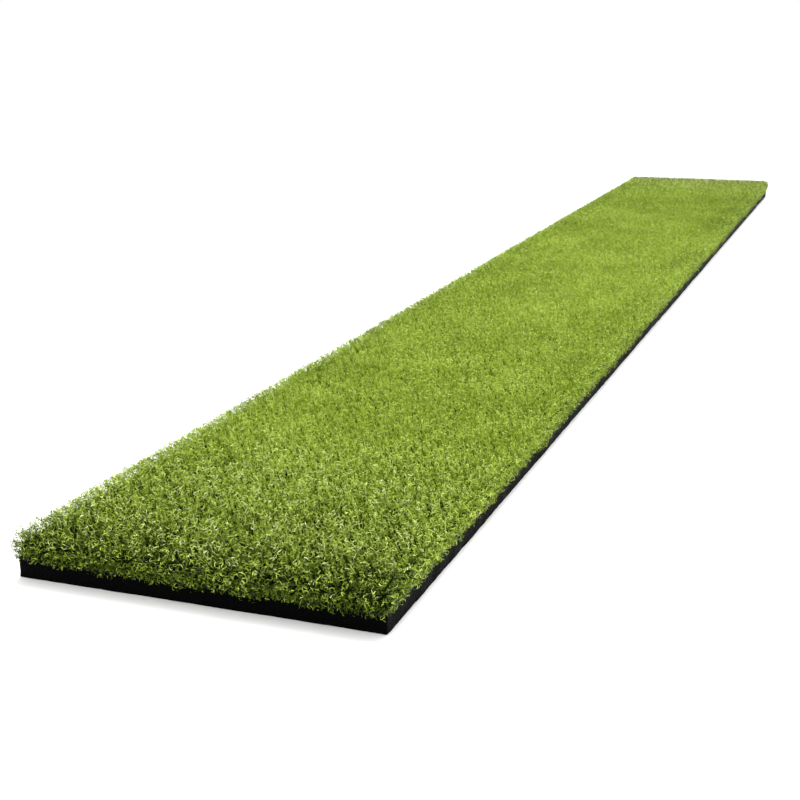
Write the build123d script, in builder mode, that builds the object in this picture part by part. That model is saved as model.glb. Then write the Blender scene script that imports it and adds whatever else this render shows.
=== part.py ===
from build123d import *
import os
from math import atan2, degrees

# A foam-backed golf hitting strip: tufted turf glued to a closed-cell foam base.
#
# Frame: X across the strip, Y along it, Z up. The origin is the centre of the underside.
# From the floor up the strip is foam, laminating adhesive, the coat that locks the yarn,
# the woven cloth that the yarn is tufted through, and the pile. One yarn makes one tuft
# row: a back stitch in the coat, a root through the cloth, and the cut pile above it.
# All sizes are in millimetres.

# --- Overall ---
strip_width = 304.8  # one foot, cut between two yarn rows
strip_length = 2438.4  # eight feet

# --- Layers, from the floor up ---
foam_thickness = 14.3
adhesive_thickness = 0.3
coat_thickness = 1.1
cloth_thickness = 0.7
pile_height = 20.0  # from the cloth to the tips

# --- Tufting ---
row_gauge = 6.35  # a quarter inch from one needle to the next
root_width = 1.2  # the yarn where it passes through the cloth
stitch_width = 2.4  # the yarn lying flat under the cloth
stitch_depth = 0.6  # how far the back stitch lies in the coat
root_end_margin = 3.0  # whole cloth left beyond the last stitch at each cut end

# --- Pile outline ---
pile_splay = 3.0  # how far the sides lean out over the pile's height
pile_crown_radius = 9.0  # rounding of the pile's top edges
pile_corner_radius = 6.0  # rounding of the pile's four upright corners

# --- Cut edges ---
cut_corner_radius = 1.5  # the upright corners the knife leaves in every layer
foam_edge_chamfer = 0.6  # wear along the foam's bottom edge

# --- Clearances ---
row_clearance = 0.25  # between the piles of two neighbouring rows
needle_clearance = 0.1  # each side of a root in its slit
stitch_clearance = 0.1  # each side of a back stitch in its groove

# --- Heights of the faces between the layers ---
foam_top = foam_thickness
adhesive_top = foam_top + adhesive_thickness
coat_top = adhesive_top + coat_thickness
cloth_top = coat_top + cloth_thickness
stitch_bottom = coat_top - stitch_depth

# --- Rows: as many whole gauges as the strip is wide ---
count_digits = 6  # drops the rounding error of an exact number of rows
row_count = int(round(strip_width / row_gauge, count_digits))
first_row_x = -row_gauge * (row_count - 1) / 2
stitched_length = strip_length - 2 * root_end_margin
splayed_half_width = strip_width / 2 + pile_splay
pile_half_width = (row_gauge - row_clearance) / 2
splay_angle = degrees(atan2(pile_splay, pile_height))


def row_x(index):
    """The centre line of a row, counted from the left."""
    return first_row_x + index * row_gauge


def all_rows():
    """A place on the centre line of every row."""
    return [(row_x(index), 0) for index in range(row_count)]


def save(piece, name):
    """Names a finished piece and writes it under that name."""
    piece.part.label = name
    export_step(piece.part, f"parts/{name}.step")


os.makedirs("parts", exist_ok=True)

# --- Foam base: the shock pad that lies on the floor ---
with BuildPart() as foam_base:
    with BuildSketch(Plane.XY):
        RectangleRounded(strip_width, strip_length, cut_corner_radius)
    extrude(amount=foam_thickness)
    chamfer(foam_base.faces().sort_by(Axis.Z)[0].edges(), foam_edge_chamfer)
save(foam_base, "foam_base")

# --- Laminating adhesive: the film between the foam and the turf ---
with BuildPart() as laminating_adhesive:
    with BuildSketch(Plane.XY.offset(foam_top)):
        RectangleRounded(strip_width, strip_length, cut_corner_radius)
    extrude(amount=adhesive_thickness)
save(laminating_adhesive, "laminating_adhesive")

# --- Locking coat: cast over the back stitches, so it has a groove round each one ---
with BuildPart() as locking_coat:
    with BuildSketch(Plane.XY.offset(adhesive_top)):
        RectangleRounded(strip_width, strip_length, cut_corner_radius)
    extrude(amount=coat_thickness)
    with BuildSketch(Plane.XY.offset(stitch_bottom)):
        with Locations(*all_rows()):
            Rectangle(
                stitch_width + 2 * stitch_clearance,
                stitched_length + 2 * stitch_clearance,
            )
    extrude(amount=stitch_depth, mode=Mode.SUBTRACT)
save(locking_coat, "locking_coat")

# --- Primary cloth: the woven cloth, with one line of needle holes for each row ---
with BuildPart() as primary_cloth:
    with BuildSketch(Plane.XY.offset(coat_top)):
        RectangleRounded(strip_width, strip_length, cut_corner_radius)
    extrude(amount=cloth_thickness)
    with BuildSketch(Plane.XY.offset(coat_top)):
        with Locations(*all_rows()):
            Rectangle(
                root_width + 2 * needle_clearance,
                stitched_length + 2 * needle_clearance,
            )
    extrude(amount=cloth_thickness, mode=Mode.SUBTRACT)
save(primary_cloth, "primary_cloth")

# --- Pile outline: the space the whole pile fills, which each row takes its slice of ---
with BuildPart() as pile_outline:
    with BuildSketch(Plane.XY.offset(cloth_top)):
        RectangleRounded(strip_width, strip_length, pile_corner_radius)
    extrude(amount=pile_height, taper=-splay_angle)
    fillet(pile_outline.faces().sort_by(Axis.Z)[-1].edges(), pile_crown_radius)

# --- Tuft rows: the outermost two reach out to the splayed sides ---
for index in range(row_count):
    pile_left = row_x(index) - pile_half_width
    pile_right = row_x(index) + pile_half_width
    if index == 0:
        pile_left = -splayed_half_width
    if index == row_count - 1:
        pile_right = splayed_half_width
    with BuildPart() as tuft_row:
        with BuildSketch(Plane.XY.offset(cloth_top)):
            with Locations(((pile_left + pile_right) / 2, 0)):
                Rectangle(pile_right - pile_left, strip_length + 2 * pile_splay)
        extrude(amount=pile_height)
        add(pile_outline.part, mode=Mode.INTERSECT)
        with BuildSketch(Plane.XY.offset(coat_top)):
            with Locations((row_x(index), 0)):
                Rectangle(root_width, stitched_length)
        extrude(amount=cloth_thickness)
        with BuildSketch(Plane.XY.offset(stitch_bottom)):
            with Locations((row_x(index), 0)):
                Rectangle(stitch_width, stitched_length)
        extrude(amount=stitch_depth)
    save(tuft_row, f"tuft_row_{index + 1:02d}")
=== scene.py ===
import math

import bmesh
import bpy
from bpy.props import FloatProperty, FloatVectorProperty, IntProperty, PointerProperty
from mathutils import Euler, Matrix, Vector, noise


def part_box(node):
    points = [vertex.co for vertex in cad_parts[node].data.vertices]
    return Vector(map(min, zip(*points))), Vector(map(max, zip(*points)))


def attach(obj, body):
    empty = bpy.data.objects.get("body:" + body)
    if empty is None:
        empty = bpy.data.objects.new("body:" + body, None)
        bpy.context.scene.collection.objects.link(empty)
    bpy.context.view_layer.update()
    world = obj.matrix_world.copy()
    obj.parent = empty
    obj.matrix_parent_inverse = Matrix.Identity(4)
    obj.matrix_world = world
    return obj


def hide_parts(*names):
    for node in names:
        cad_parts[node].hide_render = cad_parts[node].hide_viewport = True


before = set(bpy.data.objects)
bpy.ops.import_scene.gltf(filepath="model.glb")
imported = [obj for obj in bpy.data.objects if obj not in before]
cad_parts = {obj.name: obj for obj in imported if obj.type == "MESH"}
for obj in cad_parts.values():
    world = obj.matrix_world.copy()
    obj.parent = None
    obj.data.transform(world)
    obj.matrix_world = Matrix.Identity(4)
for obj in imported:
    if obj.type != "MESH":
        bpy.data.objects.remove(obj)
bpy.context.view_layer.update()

bl_info = {
    "name": "Foam-Backed Hitting Strip",
    "version": (1, 0, 0),
    "blender": (4, 5, 0),
    "location": "3D Viewport > Sidebar > Hitting Strip",
    "description": "Builds a golf hitting strip: foam, coat, woven cloth and curly tufted yarn",
    "category": "Add Mesh",
}

# A foam-backed golf hitting strip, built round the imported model.
#
# Frame: X across the strip, Y along it, Z up, in metres. The floor is at Z = 0. From the floor up
# the strip is foam, adhesive, the coat that locks the yarn, the woven cloth and the curly pile,
# which is one piece for each tuft row.

BODY = "root"
MM = 0.001
ROW_NODES = sorted(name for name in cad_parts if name.startswith("tuft_row_"))

# --- Where the layers lie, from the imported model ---
FOAM_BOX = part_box("foam_base")
ADHESIVE_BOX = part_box("laminating_adhesive")
COAT_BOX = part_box("locking_coat")
CLOTH_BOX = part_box("primary_cloth")
PILE_FLOOR = CLOTH_BOX[1].z
PILE_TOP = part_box(ROW_NODES[len(ROW_NODES) // 2])[1].z
HALF_WIDTH = CLOTH_BOX[1].x
HALF_LENGTH = CLOTH_BOX[1].y

# --- How every layer is cut ---
CUT_CORNER = 1.5 * MM  # the upright corners the knife leaves
CORNER_STEPS = 5  # points along the round of one corner, less one
SHARP_EDGE = math.radians(35)  # edges that turn more than this stay sharp

# --- Names of what the pile's node tree stores on its points ---
SPOT = "spot"
OUTWARD = "outward"
STRAND = "strand"
STRIP = "strip"
SHADE = "shade"
ALONG = "along"
STEEP = "steep"
PALETTE_MAP = "OFBake"


# ---------------------------------------------------------------- node arithmetic


def socket_named(sockets, key):
    """The enabled socket of that name, or the one at that place."""
    if isinstance(key, int):
        return sockets[key]
    return next(s for s in sockets if s.name == key and s.enabled)


class Term:
    """An output socket that Python arithmetic can be written with."""

    def __init__(self, tree, socket):
        self.tree = tree
        self.socket = socket

    @property
    def is_vector(self):
        return self.socket.type == "VECTOR"

    def out(self, name):
        """Another output of the same node."""
        return Term(self.tree, socket_named(self.socket.node.outputs, name))

    def math(self, operation, *others):
        """A Math node on this and up to two more values."""
        terms = dict(enumerate((self, *others)))
        return self.tree.node("ShaderNodeMath", terms, operation=operation)

    def vector(self, operation, *others):
        """A Vector Math node on this and up to two more vectors."""
        terms = dict(enumerate((self, *others)))
        outlet = "Value" if operation in ("DOT_PRODUCT", "LENGTH", "DISTANCE") else "Vector"
        return self.tree.node("ShaderNodeVectorMath", terms, outlet, operation=operation)

    def scaled(self, factor):
        """This vector times a number."""
        terms = {"Vector": self, "Scale": factor}
        return self.tree.node("ShaderNodeVectorMath", terms, "Vector", operation="SCALE")

    def clamp(self, low=0.0, high=1.0):
        return self.math("MAXIMUM", low).math("MINIMUM", high)

    def __add__(self, other):
        if self.is_vector:
            return self.vector("ADD", other)
        return self.math("ADD", other)

    def __sub__(self, other):
        if self.is_vector:
            return self.vector("SUBTRACT", other)
        return self.math("SUBTRACT", other)

    def __mul__(self, other):
        if self.is_vector:
            return self.scaled(other)
        return self.math("MULTIPLY", other)

    def __rsub__(self, other):
        return self.tree.node("ShaderNodeMath", {0: other, 1: self}, operation="SUBTRACT")

    def __gt__(self, other):
        return self.math("GREATER_THAN", other)

    def __lt__(self, other):
        return self.math("LESS_THAN", other)

    __radd__ = __add__
    __rmul__ = __mul__


class Tree:
    """A shader or geometry node tree and the ways this script adds to it."""

    def __init__(self, tree):
        self.tree = tree

    def node(self, kind, sockets=None, outlet=None, stops=None, **settings):
        """Adds a node: its settings and ramp stops first, then its sockets' values or links."""
        made = self.tree.nodes.new(kind)
        for name, value in settings.items():
            setattr(made, name, value)
        if stops:
            ramp = made.color_ramp.elements
            while len(ramp) < len(stops):
                ramp.new(1.0)
            for element, (place, colour) in zip(ramp, stops):
                element.position = place
                element.color = (*colour, 1.0)
        for key, value in (sockets or {}).items():
            target = socket_named(made.inputs, key)
            if isinstance(value, Term):
                self.tree.links.new(value.socket, target)
            else:
                target.default_value = value
        if not made.outputs:
            return made
        if outlet is None:
            outlet = next(s.name for s in made.outputs if s.enabled)
        return Term(self, socket_named(made.outputs, outlet))

    def attribute(self, name, kind):
        """Reads a named attribute in a geometry tree."""
        return self.node(
            "GeometryNodeInputNamedAttribute", {"Name": name}, "Attribute", data_type=kind
        )

    def store(self, geometry, name, value, kind, domain="POINT"):
        """Writes a named attribute in a geometry tree."""
        sockets = {"Geometry": geometry, "Name": name, "Value": value}
        return self.node(
            "GeometryNodeStoreNamedAttribute", sockets, data_type=kind, domain=domain
        )

    def noise(self, place, scale, detail=2.0):
        """Smooth random numbers round a half over a position."""
        return self.node("ShaderNodeTexNoise", {"Vector": place, "Scale": scale, "Detail": detail}, 0)

    def split(self, vector):
        """The parts of a vector, the first of them X."""
        return self.node("ShaderNodeSeparateXYZ", {"Vector": vector}, "X")

    def offset(self, **parts):
        """A vector from its named parts."""
        return self.node("ShaderNodeCombineXYZ", parts, "Vector")

    def random(self, low, high, who, seed):
        """A number for each strand that differs with the seed."""
        sockets = {"Min": low, "Max": high, "ID": who, "Seed": seed}
        return self.node("FunctionNodeRandomValue", sockets, "Value", data_type="FLOAT")

    def random_vector(self, who, seed):
        """A vector for each strand, each part from -1 to 1."""
        sockets = {"Min": (-1, -1, -1), "Max": (1, 1, 1), "ID": who, "Seed": seed}
        return self.node(
            "FunctionNodeRandomValue", sockets, "Value", data_type="FLOAT_VECTOR"
        )


def material(name):
    """A new material, its tree and its Principled shader."""
    made = bpy.data.materials.new(name)
    made.use_nodes = True
    shader = made.node_tree.nodes["Principled BSDF"]
    return made, Tree(made.node_tree), shader


def link(tree, term, shader, name):
    """Feeds a socket of the Principled shader."""
    tree.tree.links.new(term.socket, shader.inputs[name])


# ---------------------------------------------------------------- what a user can change


class PileSettings(bpy.types.PropertyGroup):
    """The curly cut pile."""

    density: FloatProperty(
        name="Strands", description="Strands on each square metre of pile",
        default=190000.0, min=1000.0,
    )
    width: FloatProperty(
        name="Strand width", description="Width of one flat filament",
        default=0.54 * MM, unit="LENGTH",
    )
    curl: FloatProperty(
        name="Curl radius", description="Mean radius of a filament's curl",
        default=1.5 * MM, unit="LENGTH",
    )
    turns: FloatProperty(
        name="Curl turns", description="Mean number of turns in a filament's curled end",
        default=0.7,
    )
    rise: FloatProperty(
        name="Curl rise", description="How far a curl goes along its own axis",
        default=2.8 * MM, unit="LENGTH",
    )
    depth: FloatProperty(
        name="Root depth", description="How far below the tips a strand is drawn from",
        default=8.0 * MM, unit="LENGTH",
    )
    layer: FloatProperty(
        name="Tip scatter", description="Depth of the layer that the curls lie in",
        default=4.2 * MM, unit="LENGTH",
    )
    proud: FloatProperty(
        name="Proud", description="How far the highest curls' centres lie above the outline",
        default=1.4 * MM, unit="LENGTH",
    )
    clump: FloatProperty(
        name="Clumping", description="How far strands draw together into curly locks",
        default=0.45,
    )
    clump_size: FloatProperty(
        name="Lock size", description="Distance from one lock to the next",
        default=3.4 * MM, unit="LENGTH",
    )
    side_density: FloatProperty(
        name="Side strands", description="How many times as many strands an upright face has",
        default=1.9, min=1.0,
    )
    # End tone, inner tone, calm reach and end reach set painted shade: yarn darker near a cut end
    # than further in.
    end_tone: FloatProperty(
        name="End tone", description="How light the yarn at a cut end is beside the rest",
        default=0.92,
    )
    inner_tone: FloatProperty(
        name="Inner tone", description="How light the darkest yarn is away from the cut ends",
        default=0.24,
    )
    calm_reach: FloatProperty(
        name="Calm reach", description="How far in from a cut end the strands stop differing much",
        default=0.36, unit="LENGTH",
    )
    end_reach: FloatProperty(
        name="End reach", description="How far in from a cut end the yarn is duller",
        default=0.055, unit="LENGTH",
    )
    tilt: FloatProperty(
        name="Tilt", description="How far curls lean away from upright",
        default=1.25,
    )
    droop: FloatProperty(
        name="Droop", description="How far the lowest strands of a cut end hang past the cloth",
        default=5.4 * MM, unit="LENGTH",
    )
    side_droop: FloatProperty(
        name="Side droop", description="How far the lowest strands of a long side hang down",
        default=8.0 * MM, unit="LENGTH",
    )
    bulge: FloatProperty(
        name="Bulge", description="How far the side strands spread beyond the outline",
        default=4.9 * MM, unit="LENGTH",
    )
    nap: FloatProperty(
        name="Nap", description="How far the tips lean to the left of their roots",
        default=2.4 * MM, unit="LENGTH",
    )
    foot_density: FloatProperty(
        name="Foot density", description="Strands added along the foot of a cut end, as a share",
        default=2.2,
    )
    # Painted shade on the lowest side strands.
    side_tone: FloatProperty(
        name="Side tone", description="How light the lowest side strands are beside the top",
        default=0.05,
    )
    core_drop: FloatProperty(
        name="Core depth", description="How far the dense roots lie below the tips",
        default=7.5 * MM, unit="LENGTH",
    )
    core_inset: FloatProperty(
        name="Core inset", description="How far the dense roots lie inside the sides",
        default=2.2 * MM, unit="LENGTH",
    )
    seed: IntProperty(name="Seed", description="Changes every strand", default=7)
    deep: FloatVectorProperty(
        name="Dark yarn", description="Colour of the darkest filaments",
        subtype="COLOR", default=(0.045, 0.08, 0.0025),
    )
    leaf: FloatVectorProperty(
        name="Mid yarn", description="Colour of most filaments",
        subtype="COLOR", default=(0.41, 0.55, 0.052),
    )
    lime: FloatVectorProperty(
        name="Light yarn", description="Colour of the lighter filaments",
        subtype="COLOR", default=(0.66, 0.80, 0.18),
    )
    # The palest filaments are partly a lighter yarn and partly painted highlight.
    pale: FloatVectorProperty(
        name="Pale yarn", description="Colour of the palest filaments",
        subtype="COLOR", default=(0.92, 0.98, 0.52),
    )


class FoamSettings(bpy.types.PropertyGroup):
    """The foam base."""

    edge: FloatProperty(
        name="Worn edge", description="Width of the rounded lower edge",
        default=0.6 * MM, unit="LENGTH",
    )
    wave: FloatProperty(
        name="Cut wave", description="How far the cut faces wander",
        default=1.1 * MM, unit="LENGTH",
    )
    colour: FloatVectorProperty(
        name="Foam", description="Colour of the cut foam",
        subtype="COLOR", default=(0.0002, 0.0002, 0.00022),
    )
    # Painted light: the lighter colour of the torn cell walls, mixed with random mottle.
    lit_walls_and_mottle: FloatVectorProperty(
        name="Cell walls", description="Colour of the torn cell walls that catch the light",
        subtype="COLOR", default=(0.0012, 0.0012, 0.0013),
    )


class BackingSettings(bpy.types.PropertyGroup):
    """The adhesive, the coat and the woven cloth."""

    # Painted shade: how far from each cut end the cloth is painted nearly black.
    shaded_end_reach: FloatProperty(
        name="Coat creep", description="How far the coat has filled the cloth from its cut ends",
        default=2.5 * MM, unit="LENGTH",
    )
    yarn_pitch: FloatProperty(
        name="Weave pitch", description="Distance between the cloth's tapes",
        default=1.4 * MM, unit="LENGTH",
    )
    fray: FloatProperty(
        name="Fray length", description="Mean length of the threads along the cut",
        default=1.7 * MM, unit="LENGTH",
    )
    fray_pitch: FloatProperty(
        name="Fray pitch", description="Distance between threads along the cut",
        default=2.6 * MM, unit="LENGTH",
    )
    cloth: FloatVectorProperty(
        name="Cloth", description="Colour of the woven tapes",
        subtype="COLOR", default=(0.13, 0.13, 0.11),
    )
    coat: FloatVectorProperty(
        name="Coat", description="Colour of the locking coat",
        subtype="COLOR", default=(0.008, 0.008, 0.008),
    )
    adhesive: FloatVectorProperty(
        name="Adhesive", description="Colour of the adhesive film",
        subtype="COLOR", default=(0.01, 0.01, 0.009),
    )


class StudioSettings(bpy.types.PropertyGroup):
    """The camera, the lights and the floor."""

    lens: FloatProperty(name="Lens", description="Focal length in millimetres", default=60.5)
    place: FloatVectorProperty(
        name="Camera", description="Where the camera stands",
        subtype="TRANSLATION", default=(0.4637, -2.0124, 0.4154),
    )
    tilt: FloatProperty(
        name="Camera tilt", description="How far the camera is raised from looking straight down",
        default=math.radians(73.966), unit="ROTATION",
    )
    turn: FloatProperty(
        name="Camera turn", description="How far the camera is turned from the strip's length",
        default=math.radians(20.773), unit="ROTATION",
    )
    roll: FloatProperty(
        name="Camera roll", description="How far the camera is turned about its line of sight",
        default=math.radians(-0.504), unit="ROTATION",
    )
    sky: FloatProperty(name="Sky", description="Strength of the light all round", default=1.38)
    key: FloatProperty(
        name="Key light", description="Strength of the soft light behind the strip",
        default=3.7,
    )
    key_from: FloatVectorProperty(
        name="Key direction", description="Where the soft light comes from",
        subtype="DIRECTION", default=(-0.06, 0.97, 1.43),
    )
    key_spread: FloatProperty(
        name="Key spread", description="How wide the soft light is",
        default=math.radians(42), unit="ROTATION",
    )


# ---------------------------------------------------------------- mesh helpers


def finish_piece(piece, slot, *nodes):
    """Makes a piece ride on the strip's one body in place of its CAD nodes."""
    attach(piece, BODY)
    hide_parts(*nodes)


def new_piece(name, mesh, *materials):
    """Links a new object that holds the mesh."""
    for item in materials:
        mesh.materials.append(item)
    piece = bpy.data.objects.new(name, mesh)
    bpy.context.scene.collection.objects.link(piece)
    return piece


def cut_outline(half_width, half_length, radius, step):
    """Points and outward directions round a rectangle with rounded corners, anticlockwise."""
    points = []
    corners = (
        (half_width, -half_length, -90),
        (half_width, half_length, 0),
        (-half_width, half_length, 90),
        (-half_width, -half_length, 180),
    )
    arcs = []
    for x, y, start in corners:
        centre = Vector((x - math.copysign(radius, x), y - math.copysign(radius, y)))
        arc = []
        for index in range(CORNER_STEPS + 1):
            angle = math.radians(start + 90 * index / CORNER_STEPS)
            away = Vector((math.cos(angle), math.sin(angle)))
            arc.append((centre + away * radius, away))
        arcs.append(arc)
    for arc, following in zip(arcs, arcs[1:] + arcs[:1]):
        points.extend(arc)
        first, away = arc[-1]
        last = following[0][0]
        count = max(1, round((last - first).length / step))
        points.extend((first.lerp(last, index / count), away) for index in range(1, count))
    return points


def wander(place, size, seed):
    """A smooth random number from about -1 to 1 that changes over the given size."""
    return noise.noise(Vector((place.x / size, place.y / size, seed)))


def layer_mesh(name, low, high, *, edge, wave, step, seed):
    """One layer of the laminate: a slab whose cut sides wander and whose lower edge is worn."""
    outline = cut_outline(high.x, high.y, CUT_CORNER, step)
    height = high.z - low.z
    bevel = min(edge, height / 4)
    levels = [(0.0, bevel), (0.35 * bevel, 0.3 * bevel), (bevel, 0.0)]
    levels += [(bevel + (height - 1.35 * bevel) * share, 0.0) for share in (0.33, 0.66, 1.0)]
    levels += [(height, 0.35 * bevel)]
    made = bmesh.new()
    rings = []
    for rank, (rise, inset) in enumerate(levels):
        ring = []
        for place, away in outline:
            long_wave = wander(place, 0.09, seed) + 0.5 * wander(place, 0.031, seed + 3.1)
            short_wave = wander(place, 0.011, seed + 7.7 + 0.9 * rank)
            back = inset + wave * (0.75 + 0.5 * long_wave + 0.6 * short_wave)
            spot = place - away * max(back, 0.0)
            lift = wave * (0.3 * max(0.0, long_wave) + 0.5 * max(0.0, short_wave))
            lift = lift if rank < 2 else 0.0
            ring.append(made.verts.new((spot.x, spot.y, low.z + rise + lift)))
        rings.append(ring)
    count = len(outline)
    for lower, upper in zip(rings, rings[1:]):
        for index in range(count):
            after = (index + 1) % count
            made.faces.new((lower[index], lower[after], upper[after], upper[index]))
    for ring in (rings[0], rings[-1]):
        edges = [made.edges.get((ring[i], ring[(i + 1) % count])) for i in range(count)]
        bmesh.ops.triangle_fill(made, edges=edges, use_beauty=True, use_dissolve=False)
    bmesh.ops.recalc_face_normals(made, faces=made.faces)
    mesh = bpy.data.meshes.new(name)
    made.to_mesh(mesh)
    made.free()
    mesh.shade_smooth()
    mesh.set_sharp_from_angle(angle=SHARP_EDGE)
    return mesh


# ---------------------------------------------------------------- finishes


def foam_finish(settings):
    """Saw-cut closed-cell foam: round cells, faint knife marks, and painted light on the torn walls.
    """
    made, tree, shader = material("cut_foam")
    place = tree.node("ShaderNodeTexCoord", outlet="Object")
    cells = tree.node("ShaderNodeTexVoronoi", {"Vector": place, "Scale": 900.0}, "Distance")
    coarse = tree.node("ShaderNodeTexVoronoi", {"Vector": place, "Scale": 380.0}, "Distance")
    grime = tree.noise(place, 45.0, 4.0)
    stretched = tree.node("ShaderNodeMapping", {"Vector": place, "Scale": (260.0, 260.0, 9.0)})
    marks = tree.noise(stretched, 1.0)
    # Painted light and shade: cell walls lighter and pits darker, for half of the mix; the rest is
    # random mottle.
    wall_light = (cells * 1.6).clamp()
    colour = tree.node(
        "ShaderNodeValToRGB",
        {"Fac": wall_light * 0.5 + grime * 0.5},
        "Color",
        stops=((0.3, tuple(settings.colour)), (0.85, tuple(settings.lit_walls_and_mottle))),
    )
    link(tree, colour, shader, "Base Color")
    link(tree, (grime * 0.5 + 0.25).clamp(), shader, "Roughness")
    height = cells * 0.5 + coarse * 0.8 + marks * 0.35
    bump = tree.node(
        "ShaderNodeBump", {"Height": height, "Strength": 1.0, "Distance": 0.0012}, "Normal"
    )
    link(tree, bump, shader, "Normal")
    shader.inputs["Specular IOR Level"].default_value = 0.015
    return made


def film_finish(name, colour, roughness):
    """A cast polymer layer, with small lumps and a mottled tone."""
    made, tree, shader = material(name)
    place = tree.node("ShaderNodeTexCoord", outlet="Object")
    lumps = tree.noise(place, 420.0, 3.0)
    dark = tuple(0.6 * part for part in colour)
    light = tuple(1.5 * part for part in colour)
    shades = tree.node(
        "ShaderNodeValToRGB",
        {"Fac": tree.noise(place, 60.0, 3.0)},
        "Color",
        stops=((0.3, dark), (0.7, light)),
    )
    link(tree, shades, shader, "Base Color")
    link(tree, (lumps * 0.25 + (roughness - 0.12)).clamp(), shader, "Roughness")
    shader.inputs["Specular IOR Level"].default_value = 0.08
    bump = tree.node(
        "ShaderNodeBump", {"Height": lumps, "Strength": 0.4, "Distance": 0.0003}, "Normal"
    )
    link(tree, bump, shader, "Normal")
    return made


def cloth_finish(settings):
    """Plain woven flat tapes, painted nearly black at the strip's two cut ends as painted shade."""
    made, tree, shader = material("woven_backing")
    place = tree.node("ShaderNodeTexCoord", outlet="Object")
    turns = math.pi / settings.yarn_pitch
    parts = tree.split(place)
    warp = (parts * turns).math("SINE")
    weft = (parts.out("Y") * turns).math("SINE")
    over = warp.math("MULTIPLY", weft) * 0.5 + 0.5
    fibres = tree.noise(place, 900.0)
    dark = tuple(0.45 * part for part in settings.cloth)
    # Painted shade at the two cut ends, where the cloth turns nearly black.
    shade_filled = tuple(0.06 * part for part in settings.cloth)
    from_end = HALF_LENGTH - parts.out("Y").math("ABSOLUTE")
    unshaded_weave = ((from_end - settings.shaded_end_reach) * (1 / MM)).clamp()
    shades = tree.node(
        "ShaderNodeValToRGB",
        {"Fac": (over * 0.4 + fibres * 0.45 + 0.15) * unshaded_weave},
        "Color",
        stops=((0.0, shade_filled), (0.2, dark), (0.75, tuple(settings.cloth))),
    )
    link(tree, shades, shader, "Base Color")
    link(tree, (fibres * 0.3 + 0.5).clamp(), shader, "Roughness")
    shader.inputs["Specular IOR Level"].default_value = 0.08
    height = over + fibres * 0.3
    bump = tree.node(
        "ShaderNodeBump", {"Height": height, "Strength": 0.5, "Distance": 0.0004}, "Normal"
    )
    link(tree, bump, shader, "Normal")
    return made


def yarn_finish(settings):
    """Texturised yarn: each filament has its own green, with painted shade where it leaves the roots.
    """
    made, tree, shader = material("turf_yarn")
    shade = tree.node("ShaderNodeAttribute", outlet="Fac", attribute_name=SHADE)
    along = tree.node("ShaderNodeAttribute", outlet="Fac", attribute_name=ALONG)
    greens = tree.node(
        "ShaderNodeValToRGB",
        {"Fac": shade},
        "Color",
        stops=(
            (0.0, tuple(settings.deep)),
            (0.3, tuple(settings.leaf)),
            (0.6, tuple(settings.lime)),
            (0.9, tuple(settings.pale)),
        ),
    )
    # Painted shade: the near-black colour where a filament leaves the roots.
    root = tuple(0.16 * part for part in settings.deep)
    lit = tree.node(
        "ShaderNodeMapRange", {"Value": along, "From Min": 0.0, "From Max": 0.42}, "Result"
    )
    colour = tree.node(
        "ShaderNodeMix",
        {"Factor": lit, "A": (*root, 1.0), "B": greens},
        "Result",
        data_type="RGBA",
    )
    link(tree, colour, shader, "Base Color")
    shader.inputs["Roughness"].default_value = 0.32
    shader.inputs["Specular IOR Level"].default_value = 0.2
    return made


def root_shade_finish(settings):
    """Painted shade for the crowded roots deep in the pile: nearly black between their lumps."""
    made, tree, shader = material("shaded_yarn_roots")
    lumps = tree.node("ShaderNodeAttribute", outlet="Fac", attribute_name=ALONG)
    shades = tree.node(
        "ShaderNodeValToRGB",
        {"Fac": lumps},
        "Color",
        stops=(
            (0.35, (0.001, 0.002, 0.0004)),
            (0.65, tuple(0.15 * part for part in settings.deep)),
            (0.95, tuple(0.9 * part for part in settings.deep)),
        ),
    )
    link(tree, shades, shader, "Base Color")
    shader.inputs["Roughness"].default_value = 1.0
    shader.inputs["Specular IOR Level"].default_value = 0.0
    return made


# ---------------------------------------------------------------- node trees that repeat pieces


def tree_with_inputs(name, inputs):
    """A geometry tree whose group inputs are (name, socket type) pairs after its geometry."""
    group = bpy.data.node_groups.new(name, "GeometryNodeTree")
    faces = group.interface
    faces.new_socket("Geometry", in_out="OUTPUT", socket_type="NodeSocketGeometry")
    faces.new_socket("Geometry", in_out="INPUT", socket_type="NodeSocketGeometry")
    for label, kind in inputs:
        faces.new_socket(label, in_out="INPUT", socket_type=kind)
    tree = Tree(group)
    return tree, tree.node("NodeGroupInput", outlet="Geometry")


def end_tree(tree, geometry):
    """Links the last geometry to the group's output."""
    tree.node("NodeGroupOutput", {"Geometry": geometry})
    return tree.tree


def grown(name, start, group, values):
    """Runs a geometry tree on a mesh and returns what it makes as a plain mesh."""
    seedbed = bpy.data.objects.new(f"{name}_seedbed", start)
    bpy.context.scene.collection.objects.link(seedbed)
    modifier = seedbed.modifiers.new("grow", "NODES")
    modifier.node_group = group
    for item in group.interface.items_tree:
        if item.item_type == "SOCKET" and item.in_out == "INPUT" and item.name in values:
            modifier[item.identifier] = values[item.name]
    graph = bpy.context.evaluated_depsgraph_get()
    mesh = bpy.data.meshes.new_from_object(
        seedbed.evaluated_get(graph), preserve_all_data_layers=True, depsgraph=graph
    )
    seedbed.modifiers.remove(modifier)
    bpy.data.objects.remove(seedbed)
    mesh.name = name
    return mesh


def finished(tree, geometry, finish, source):
    """Makes instances real and gives them one of the tree's materials."""
    whole = tree.node("GeometryNodeRealizeInstances", {"Geometry": geometry})
    sockets = {"Geometry": whole, "Material": source.out(finish)}
    return tree.node("GeometryNodeSetMaterial", sockets)


FLOAT = "NodeSocketFloat"

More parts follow.
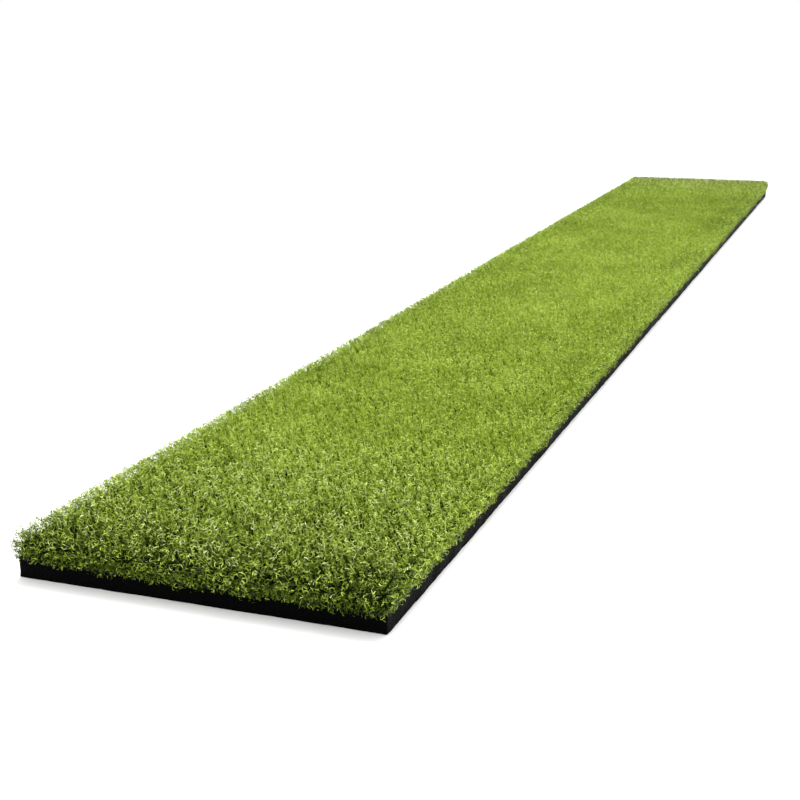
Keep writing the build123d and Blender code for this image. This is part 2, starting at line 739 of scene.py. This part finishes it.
# What the pile's tree takes from the pile's settings, under the label of each input.
PILE_MEASURES = {
    "Density": "density",
    "Strand Width": "width",
    "Curl Radius": "curl",
    "Curl Turns": "turns",
    "Curl Rise": "rise",
    "Root Depth": "depth",
    "Tip Scatter": "layer",
    "Proud": "proud",
    "Clumping": "clump",
    "Lock Size": "clump_size",
    "Side Density": "side_density",
    "End Tone": "end_tone",
    "End Reach": "end_reach",
    "Tilt": "tilt",
    "Droop": "droop",
    "Side Droop": "side_droop",
    "Bulge": "bulge",
    "Side Tone": "side_tone",
    "Foot Density": "foot_density",
    "Nap": "nap",
    "Inner Tone": "inner_tone",
    "Calm Reach": "calm_reach",
}
PILE_INPUTS = (
    *((label, FLOAT) for label in PILE_MEASURES),
    ("Core Size", "NodeSocketVector"),
    ("Core Centre", "NodeSocketVector"),
    ("Seed", "NodeSocketInt"),
    ("Yarn", "NodeSocketMaterial"),
    ("Root Shade", "NodeSocketMaterial"),
)
RINGS = 6  # rings of points along a strand, the first at its root
CORE_STEP = 0.02  # length of one face of the core
CORE_LUMP = 2.5  # the most that the core sinks above its lowest edge, in millimetres
COVER = 0.1 * MM  # faces no higher than this above the cloth stand on it
FOOT_HEIGHT = 10 * MM  # the part of a cut end that more strands stand on
END_BAND = 10 * MM  # the part of the length that is wholly a cut end
RIM_REACH = 45 * MM  # how far in from a long side the top is a little darker
RIM_SHADE = 0.09
DRIFT_START = 0.2  # where along the strip the pile starts to darken towards its far end
DRIFT_SHADE = 0.11


class TuftRowTree:
    """The node tree that grows a row's curled filaments, and the dense core under them."""

    def __init__(self):
        self.tree, self.source = tree_with_inputs("grow_tuft_row", PILE_INPUTS)
        self.place = self.tree.node("GeometryNodeInputPosition", outlet="Position")
        self.spot = self.tree.split(self.place)

        # What each strand keeps of itself: its number, its foot and the way out of the row.
        self.who = self.tree.attribute(STRAND, "INT")
        self.base = self.tree.attribute(SPOT, "FLOAT_VECTOR")
        self.outward = self.tree.attribute(OUTWARD, "FLOAT_VECTOR")
        layout = self.tree.split(self.tree.attribute(STRIP, "FLOAT_VECTOR"))
        self.across = layout - 0.5
        self.along = layout.out("Y")

        # Where that puts it: how high, how far from the cut ends, and on which face.
        self.spread = self.tree.split(self.base)
        self.height = ((self.spread.out("Z") - PILE_FLOOR) * (1 / (PILE_TOP - PILE_FLOOR))).clamp()
        self.facing = self.tree.split(self.outward)
        self.at_end = self.facing.out("Y").math("ABSOLUTE")
        self.inner = self.inward(self.spread, END_BAND, self.source.out("End Reach"))
        self.calm = self.calmed(self.spread)
        self.along_side = (1.0 - self.at_end) * self.inner

        # How deep its curl lies: 0 is the outermost and -1 the deepest.
        self.depth = self.draw(-1.0, 0.0, 8)

    def draw(self, low, high, kind):
        """A strand's own number, a different one for each kind."""
        return self.tree.random(low, high, self.who, self.source.out("Seed") + 101 * kind)

    def direction(self, kind):
        """A strand's own direction."""
        seed = self.source.out("Seed") + 101 * kind
        return self.tree.random_vector(self.who, seed).vector("NORMALIZE")

    def inward(self, split, first, last):
        """0 up to the first distance from a cut end and 1 from the last, for a split position."""
        from_end = HALF_LENGTH - split.out("Y").math("ABSOLUTE")
        ends = {"Value": from_end, "From Min": first, "From Max": last}
        return self.tree.node("ShaderNodeMapRange", ends, "Result")

    def calmed(self, split):
        """0 near a cut end and 1 where the strands no longer differ much."""
        return self.inward(split, self.source.out("End Reach"), self.source.out("Calm Reach"))

    def open_faces(self):
        """The row's outline without what neighbouring rows and the cloth cover."""
        facing = self.tree.split(self.tree.node("GeometryNodeInputNormal", outlet="Normal"))
        sideways = facing.math("ABSOLUTE") > 0.9
        inside = self.spot.math("ABSOLUTE") < HALF_WIDTH
        below = self.spot.out("Z") < PILE_FLOOR + COVER
        downward = facing.out("Z") < -0.6
        hidden = (sideways * inside + below + downward).clamp()
        faces = self.tree.node(
            "GeometryNodeDeleteGeometry",
            {"Geometry": self.source, "Selection": hidden},
            domain="FACE",
        )
        return self.tree.store(faces, STEEP, 1.0 - facing.out("Z"), "FLOAT", "FACE"), facing

    def planted(self):
        """One point for each strand, drawn towards the middle of its lock."""
        tree, source = self.tree, self.source
        faces, facing = self.open_faces()
        foot = (1.0 - (self.spot.out("Z") - PILE_FLOOR) * (1 / FOOT_HEIGHT)).clamp()
        foot = foot * facing.out("Y").math("ABSOLUTE")
        added = source.out("Side Density") - 1.0 + foot * source.out("Foot Density")
        crowding = tree.attribute(STEEP, "FLOAT") * added + 1.0
        points = tree.node(
            "GeometryNodeDistributePointsOnFaces",
            {
                "Mesh": faces,
                "Density": source.out("Density") * crowding,
                "Seed": source.out("Seed"),
            },
            "Points",
            distribute_method="RANDOM",
        )
        number = tree.node("GeometryNodeInputIndex", outlet="Index")
        points = tree.store(points, OUTWARD, points.out("Normal"), "FLOAT_VECTOR")
        lock_scale = {0: 1.0, 1: source.out("Lock Size")}
        lock = tree.node(
            "ShaderNodeTexVoronoi",
            {
                "Vector": self.place,
                "Scale": tree.node("ShaderNodeMath", lock_scale, operation="DIVIDE"),
            },
            "Position",
        )
        to_lock = (lock - self.place) * source.out("Clumping")
        to_lock = to_lock - self.outward * to_lock.vector("DOT_PRODUCT", self.outward)
        points = tree.store(points, SPOT, self.place + to_lock, "FLOAT_VECTOR")
        return tree.store(points, STRAND, number, "INT")

    def strips(self):
        """A flat strip of faces for each strand, laid out afterwards."""
        tree = self.tree
        strip = tree.node("GeometryNodeMeshGrid", {"Vertices X": 2, "Vertices Y": RINGS}, "Mesh")
        strip = tree.store(strip, STRIP, strip.out("UV Map"), "FLOAT_VECTOR")
        strips = {"Points": self.planted(), "Instance": strip}
        strips = tree.node("GeometryNodeInstanceOnPoints", strips)
        return tree.node("GeometryNodeRealizeInstances", {"Geometry": strips})

    def drop(self):
        """How far a strand leans with the nap and hangs, the lowest of them past the cloth."""
        side = (1.0 - self.facing.out("Z") * 1.4).clamp()
        ragged = ((self.tree.noise(self.base, 28.0, 1.0) - 0.35) * 3.0).clamp()
        reach = self.source.out("Droop") * self.at_end * (ragged * 0.9 + 0.5)
        sagging = self.along_side * (self.calm * 0.5 + 0.5) * (ragged * 0.8 + 0.35)
        reach = reach + self.source.out("Side Droop") * sagging
        low_down = (1.0 - self.height * 1.3).clamp()
        hang = reach * side * low_down * self.draw(0.3, 1.0, 7)
        nap = self.source.out("Nap") * self.height * -1.0
        return self.tree.offset(X=nap, Z=hang * -1.0)

    def lift(self):
        """How far a curl's middle lies outside the outline, with the sides spread out."""
        upright = self.facing.out("Z")
        side = (1.0 - upright * 1.4).clamp()
        shoulder = (upright * (1.0 - upright) * 4.0).clamp()
        corner = (self.facing.out("X") * self.facing.out("Y")).math("ABSOLUTE") * 1.3
        flare = (side * (self.height * 1.4 + 0.1) + shoulder).clamp() + corner
        lift = self.source.out("Tip Scatter") * self.depth + self.source.out("Proud")
        return lift + self.source.out("Bulge") * flare * self.draw(0.15, 1.0, 13)

    def curled(self, strips):
        """Winds each strip round an axis of its own, as flat as a wood shaving."""
        source, draw = self.source, self.draw
        risen = (self.along * (RINGS - 1)).clamp()
        curled = ((self.along - 1 / (RINGS - 1)) * ((RINGS - 1) / (RINGS - 2))).clamp()
        lean = source.out("Tilt") * draw(0.15, 1.0, 1)
        axis = (self.outward + self.direction(2) * lean).vector("NORMALIZE")
        first = axis.vector("CROSS_PRODUCT", self.direction(3)).vector("NORMALIZE")
        second = axis.vector("CROSS_PRODUCT", first)
        radius = source.out("Curl Radius") * draw(0.55, 1.45, 4) * (1.0 - curled * 0.2)
        turns = source.out("Curl Turns") * draw(0.6, 1.4, 5)
        angle = turns * curled * (2 * math.pi) + draw(0.0, 2 * math.pi, 6)
        ring = first * (angle.math("COSINE") * radius) + second * (angle.math("SINE") * radius)
        climb = source.out("Curl Rise") * (curled - 0.5) * draw(0.6, 1.5, 9)
        centre = self.base + self.outward * self.lift() + axis * climb + self.drop()
        root = self.base - self.outward * source.out("Root Depth")
        line = root + (centre + ring - root) * risen
        tape = (axis + self.direction(10) * 0.35).vector("NORMALIZE")
        breadth = source.out("Strand Width") * draw(0.7, 1.2, 11) * (1.0 - curled * 0.25)
        breadth = breadth * (1.0 - self.depth * 0.4)
        return self.tree.node(
            "GeometryNodeSetPosition",
            {"Geometry": strips, "Position": line + tape * (self.across * breadth)},
        )

    def tone(self):
        """Every strand's own green, which drifts in patches, under painted shade by face, place and
        depth.
        """
        inner, calm, height = self.inner, self.calm, self.height
        patches = self.tree.noise(self.base, 11.0, 3.0)
        wild = self.draw(0.0, 1.0, 12).math("POWER", 1.6)
        # Painted shade: yarn darker near the cut ends, its darkest strands lighter further in.
        own = wild * (1.2 - inner * 0.3 - calm * 0.5) - (1.0 - inner) * 0.07
        own = own + self.source.out("Inner Tone") * inner - calm * 0.025
        own = own + (patches - 0.5) * 0.35
        own = own * (self.source.out("End Tone") * (1.0 - inner) + inner)
        # Painted shade: strands on steep faces darker, less so high up at the cut ends and along the
        # long sides.
        slope = ((1.0 - self.facing.out("Z")) * 2.2).clamp()
        lighter = ((height - 0.35) * 2.6).clamp() * (self.at_end * 0.85 + 0.15)
        side_shade = slope * (1.0 - self.source.out("Side Tone")) * (1.0 - lighter)
        side_shade = side_shade * (1.0 - self.along_side * (height * 0.4 + 0.25))
        from_side = HALF_WIDTH - self.spread.out("X").math("ABSOLUTE")
        rim = (1.0 - from_side * (1 / RIM_REACH)).clamp() * inner * self.facing.out("Z")
        own = own - rim * RIM_SHADE
        far = {"Value": self.spread.out("Y"), "From Min": DRIFT_START, "From Max": HALF_LENGTH}
        own = own - self.tree.node("ShaderNodeMapRange", far, "Result") * DRIFT_SHADE
        own = own * (1.0 - side_shade * (1.0 - wild * 0.5))
        # Painted shade: deeper curls darker, less so far from the cut ends.
        return (own * (self.depth * (0.8 - calm * 0.6) + 1.0)).clamp()

    def coloured(self, strands):
        """Stores what the yarn's material reads, and a palette map of the same two numbers."""
        tree = self.tree
        tone = self.tone()
        lit = self.along + (1.0 - self.along) * (self.inner * 0.1 + self.calm * 0.25)
        strands = tree.store(strands, SHADE, tone, "FLOAT")
        strands = tree.store(strands, ALONG, lit, "FLOAT")
        palette = tree.offset(X=tone * 0.95 + self.across * 0.03 + 0.025, Y=lit * 0.8 + 0.02)
        strands = tree.store(strands, PALETTE_MAP, palette, "FLOAT2", "CORNER")
        return tree.node("GeometryNodeSetShadeSmooth", {"Geometry": strands})

    def core(self):
        """The dense roots, as one lumpy bar that nothing shows through, coloured as painted shade."""
        tree, source, spot = self.tree, self.source, self.spot
        length = tree.split(source.out("Core Size")).out("Y")
        cuts = {"Vertices X": 3, "Vertices Y": length * (1 / CORE_STEP), "Vertices Z": 3}
        bar = tree.node("GeometryNodeMeshCube", {"Size": source.out("Core Size"), **cuts}, "Mesh")
        bar = tree.node(
            "GeometryNodeTransform", {"Geometry": bar, "Translation": source.out("Core Centre")}
        )
        lumps = tree.noise(self.place, 130.0)
        sunk = lumps * -CORE_LUMP * MM * (spot.out("Z") > PILE_FLOOR + 2 * MM)
        bar = tree.node(
            "GeometryNodeSetPosition", {"Geometry": bar, "Offset": tree.offset(Z=sunk)}
        )
        # Painted light: the core's top ring lighter away from the cut ends.
        lit_top_inside = self.calmed(spot) * 0.25 * (spot.out("Z") > PILE_FLOOR + FOOT_HEIGHT)
        bar = tree.store(bar, ALONG, lumps + lit_top_inside, "FLOAT")
        distance = (spot.out("Y") * (0.5 / HALF_LENGTH) + 0.5).clamp()
        middle = tree.split(source.out("Core Centre"))
        aside = (spot - middle) * 12.0
        above = (spot.out("Z") - middle.out("Z")) * 30.0
        girth = (aside + above + 0.5).clamp()
        strip = tree.offset(X=distance * 0.94 + 0.03, Y=girth * 0.1 + 0.87)
        return tree.store(bar, PALETTE_MAP, strip, "FLOAT2", "CORNER")

    def whole(self):
        """The finished tree: the strands in yarn and the core in its own finish."""
        strands = self.coloured(self.curled(self.strips()))
        strands = finished(self.tree, strands, "Yarn", self.source)
        core = finished(self.tree, self.core(), "Root Shade", self.source)
        both = self.tree.node("GeometryNodeJoinGeometry", {"Geometry": strands})
        self.tree.tree.links.new(core.socket, both.socket.node.inputs["Geometry"])
        return end_tree(self.tree, both)


FRAY_INPUTS = (
    ("Pitch", FLOAT),
    ("Length", FLOAT),
    ("Seed", "NodeSocketInt"),
    ("Thread", "NodeSocketMaterial"),
)
FRAY_RADIUS = 0.11 * MM
FRAY_ROOT = 0.3 * MM  # how far a thread starts inside the cloth's edge
FRAY_SCATTER = 0.3 * MM  # how far threads start above or below the cloth's middle


def fray_tree():
    """Short loose threads that stand out of the cloth's cut edge."""
    tree, source = tree_with_inputs("fray_cloth_edge", FRAY_INPUTS)
    seed = source.out("Seed")
    rim = tree.node("GeometryNodeMeshToCurve", {"Mesh": source})
    points = tree.node(
        "GeometryNodeCurveToPoints",
        {"Curve": rim, "Length": source.out("Pitch")},
        "Points",
        mode="LENGTH",
    )
    number = tree.node("GeometryNodeInputIndex", outlet="Index")
    place = tree.node("GeometryNodeInputPosition", outlet="Position")
    marked = tree.store(points, SPOT, place, "FLOAT_VECTOR")
    marked = tree.store(marked, OUTWARD, points.out("Normal"), "FLOAT_VECTOR")
    marked = tree.store(marked, STRAND, number, "INT")
    thread = tree.node(
        "GeometryNodeMeshCylinder",
        {"Vertices": 3, "Side Segments": 2, "Radius": 1.0, "Depth": 1.0},
        "Mesh",
    )
    thread = tree.store(thread, STRIP, place, "FLOAT_VECTOR")
    threads = tree.node("GeometryNodeInstanceOnPoints", {"Points": marked, "Instance": thread})
    threads = tree.node("GeometryNodeRealizeInstances", {"Geometry": threads})
    who = tree.attribute(STRAND, "INT")
    base = tree.attribute(SPOT, "FLOAT_VECTOR")
    away = tree.attribute(OUTWARD, "FLOAT_VECTOR")
    layout = tree.split(tree.attribute(STRIP, "FLOAT_VECTOR"))
    along = layout.out("Z") + 0.5
    aim = (away + tree.random_vector(who, seed) * 0.7).vector("NORMALIZE")
    length = source.out("Length") * tree.random(0.35, 1.3, who, seed + 1)
    sag = tree.offset(Z=along * along * length * -0.5)
    up = tree.offset(Z=layout * FRAY_RADIUS)
    level = {0: aim, 1: (0.0, 0.0, 1.0)}
    level = tree.node("ShaderNodeVectorMath", level, operation="CROSS_PRODUCT")
    start = base + tree.offset(Z=tree.random(-FRAY_SCATTER, FRAY_SCATTER, who, seed + 2))
    line = start + aim * (along * length - FRAY_ROOT) + sag
    line = line + up + level * (layout.out("Y") * FRAY_RADIUS)
    threads = tree.node("GeometryNodeSetPosition", {"Geometry": threads, "Position": line})
    return end_tree(tree, finished(tree, threads, "Thread", source))


def drop_attributes(mesh, names):
    """Removes what only the node tree needed."""
    for name in names:
        found = mesh.attributes.get(name)
        if found is not None:
            mesh.attributes.remove(found)


# ---------------------------------------------------------------- operators


class STRIP_OT_foam_base(bpy.types.Operator):
    """Build the cut foam base"""

    bl_idname = "strip.foam_base"
    bl_label = "Foam Base"

    def execute(self, context):
        settings = context.scene.strip_foam
        mesh = layer_mesh(
            "foam_block", *FOAM_BOX, edge=settings.edge, wave=settings.wave, step=4 * MM, seed=1.0
        )
        block = new_piece("foam_block", mesh, foam_finish(settings))
        finish_piece(block, "foam", "foam_base")
        return {"FINISHED"}


class STRIP_OT_backing(bpy.types.Operator):
    """Build the adhesive film, the locking coat and the woven cloth with its frayed edge"""

    bl_idname = "strip.backing"
    bl_label = "Backing"

    def execute(self, context):
        settings = context.scene.strip_backing
        film = layer_mesh(
            "adhesive_film", *ADHESIVE_BOX, edge=0.1 * MM, wave=0.5 * MM, step=5 * MM, seed=2.0
        )
        glue = film_finish("adhesive_edge", settings.adhesive, 0.4)
        film = new_piece("adhesive_film", film, glue)
        finish_piece(film, "adhesive", "laminating_adhesive")
        coat = layer_mesh(
            "coat_layer", *COAT_BOX, edge=0.2 * MM, wave=0.25 * MM, step=4 * MM, seed=3.0
        )
        coat = new_piece("coat_layer", coat, film_finish("coat_edge", settings.coat, 0.6))
        finish_piece(coat, "coat", "locking_coat")
        weave = cloth_finish(settings)
        cloth = layer_mesh(
            "woven_cloth", *CLOTH_BOX, edge=0.1 * MM, wave=0.2 * MM, step=3 * MM, seed=4.0
        )
        cloth = new_piece("woven_cloth", cloth, weave)
        finish_piece(cloth, "cloth", "primary_cloth")
        fray = self.fray(settings, weave)
        return {"FINISHED"}

    def fray(self, settings, weave):
        """Threads all round the cloth's cut edge."""
        low, high = CLOTH_BOX
        outline = cut_outline(high.x - FRAY_ROOT, high.y - FRAY_ROOT, CUT_CORNER, 20 * MM)
        middle = (low.z + high.z) / 2
        rim = bpy.data.meshes.new("cloth_rim")
        places = [(place.x, place.y, middle) for place, _ in outline]
        edges = [(index, (index + 1) % len(places)) for index in range(len(places))]
        rim.from_pydata(places, edges, [])
        values = {
            "Pitch": settings.fray_pitch,
            "Length": settings.fray,
            "Seed": 5,
            "Thread": weave,
        }
        mesh = grown("cloth_fray", rim, fray_tree(), values)
        drop_attributes(mesh, (SPOT, OUTWARD, STRAND, STRIP))
        threads = new_piece("cloth_fray", mesh)
        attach(threads, BODY)
        return threads


class STRIP_OT_tuft_rows(bpy.types.Operator):
    """Grow the curly pile of every tuft row"""

    bl_idname = "strip.tuft_rows"
    bl_label = "Tuft Rows"

    def execute(self, context):
        settings = context.scene.strip_pile
        yarn = yarn_finish(settings)
        roots = root_shade_finish(settings)
        group = TuftRowTree().whole()
        for rank, node in enumerate(ROW_NODES):
            self.grow_row(settings, yarn, roots, group, rank, node)
        return {"FINISHED"}

    def grow_row(self, settings, yarn, roots, group, rank, node):
        """One row's strands, on the outline of its CAD node."""
        low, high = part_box(node)
        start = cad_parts[node].data.copy()
        start.materials.clear()
        inset = settings.core_inset
        left = max(low.x, -HALF_WIDTH + inset)
        right = min(high.x, HALF_WIDTH - inset)
        top = PILE_TOP - settings.core_drop
        size = (right - left, 2 * (HALF_LENGTH - inset), top - PILE_FLOOR)
        centre = ((left + right) / 2, 0.0, (top + PILE_FLOOR) / 2)
        values = {label: getattr(settings, name) for label, name in PILE_MEASURES.items()}
        values |= {
            "Core Size": size,
            "Core Centre": centre,
            "Seed": settings.seed + 31 * rank,
            "Yarn": yarn,
            "Root Shade": roots,
        }
        name = node.replace("tuft_row", "yarn_row")
        mesh = grown(name, start, group, values)
        drop_attributes(mesh, (SPOT, OUTWARD, STRAND, STRIP, STEEP))
        row = new_piece(name, mesh)
        finish_piece(row, "yarn", node)


class STRIP_OT_studio(bpy.types.Operator):
    """Set up the floor, the lights and the camera"""

    bl_idname = "strip.studio"
    bl_label = "Studio"

    def execute(self, context):
        settings = context.scene.strip_studio
        scene = context.scene
        scene.view_settings.view_transform = "Standard"
        self.floor()
        self.lights(scene, settings)
        lens = bpy.data.cameras.new("camera")
        lens.lens = settings.lens
        lens.clip_start = 0.02
        lens.clip_end = 200.0
        camera = bpy.data.objects.new("camera", lens)
        camera.location = settings.place
        aim = Euler((settings.tilt, 0, settings.turn)).to_matrix()
        camera.rotation_euler = (aim @ Matrix.Rotation(settings.roll, 3, "Z")).to_euler()
        scene.collection.objects.link(camera)
        scene.camera = camera
        return {"FINISHED"}

    def floor(self):
        """A plain pale floor."""
        reach = 40.0
        mesh = bpy.data.meshes.new("floor")
        corners = [(-reach, -reach, 0), (reach, -reach, 0), (reach, reach, 0), (-reach, reach, 0)]
        mesh.from_pydata(corners, [], [(0, 1, 2, 3)])
        paint, _, shader = material("pale_floor")
        shader.inputs["Base Color"].default_value = (0.9, 0.9, 0.9, 1.0)
        shader.inputs["Roughness"].default_value = 0.9
        shader.inputs["Specular IOR Level"].default_value = 0.0
        new_piece("floor", mesh, paint)

    def lights(self, scene, settings):
        """A white room and one broad soft light."""
        world = bpy.data.worlds.new("white_room")
        world.use_nodes = True
        tree = Tree(world.node_tree)
        sky = world.node_tree.nodes["Background"]
        sky.inputs["Color"].default_value = (1.0, 1.0, 1.0, 1.0)
        seen = tree.node("ShaderNodeLightPath", outlet="Is Camera Ray")
        strength = seen * (1.0 - settings.sky) + settings.sky
        tree.tree.links.new(strength.socket, sky.inputs["Strength"])
        scene.world = world
        lamp = bpy.data.lights.new("key", "SUN")
        lamp.energy = settings.key
        lamp.angle = settings.key_spread
        key = bpy.data.objects.new("key", lamp)
        away = -Vector(settings.key_from)
        key.rotation_euler = away.to_track_quat("-Z", "Y").to_euler()
        scene.collection.objects.link(key)


class VIEW3D_PT_hitting_strip(bpy.types.Panel):
    """The hitting strip's sizes, colours and build steps"""

    bl_label = "Hitting Strip"
    bl_idname = "VIEW3D_PT_hitting_strip"
    bl_space_type = "VIEW_3D"
    bl_region_type = "UI"
    bl_category = "Hitting Strip"

    def draw(self, context):
        layout = self.layout
        for attribute, group in SETTINGS:
            settings = getattr(context.scene, attribute)
            for name in group.__annotations__:
                layout.prop(settings, name)
        for operator in OPERATORS:
            layout.operator(operator.bl_idname)


SETTINGS = (
    ("strip_foam", FoamSettings),
    ("strip_backing", BackingSettings),
    ("strip_pile", PileSettings),
    ("strip_studio", StudioSettings),
)
OPERATORS = (
    STRIP_OT_foam_base,
    STRIP_OT_backing,
    STRIP_OT_tuft_rows,
    STRIP_OT_studio,
)


def register():
    for attribute, group in SETTINGS:
        bpy.utils.register_class(group)
        setattr(bpy.types.Scene, attribute, PointerProperty(type=group))
    for operator in OPERATORS:
        bpy.utils.register_class(operator)
    bpy.utils.register_class(VIEW3D_PT_hitting_strip)


def unregister():
    bpy.utils.unregister_class(VIEW3D_PT_hitting_strip)
    for operator in reversed(OPERATORS):
        bpy.utils.unregister_class(operator)
    for attribute, group in reversed(SETTINGS):
        delattr(bpy.types.Scene, attribute)
        bpy.utils.unregister_class(group)


def main():
    register()
    bpy.ops.strip.foam_base()
    bpy.ops.strip.backing()
    bpy.ops.strip.tuft_rows()
    bpy.ops.strip.studio()


if __name__ == "__main__":
    main()
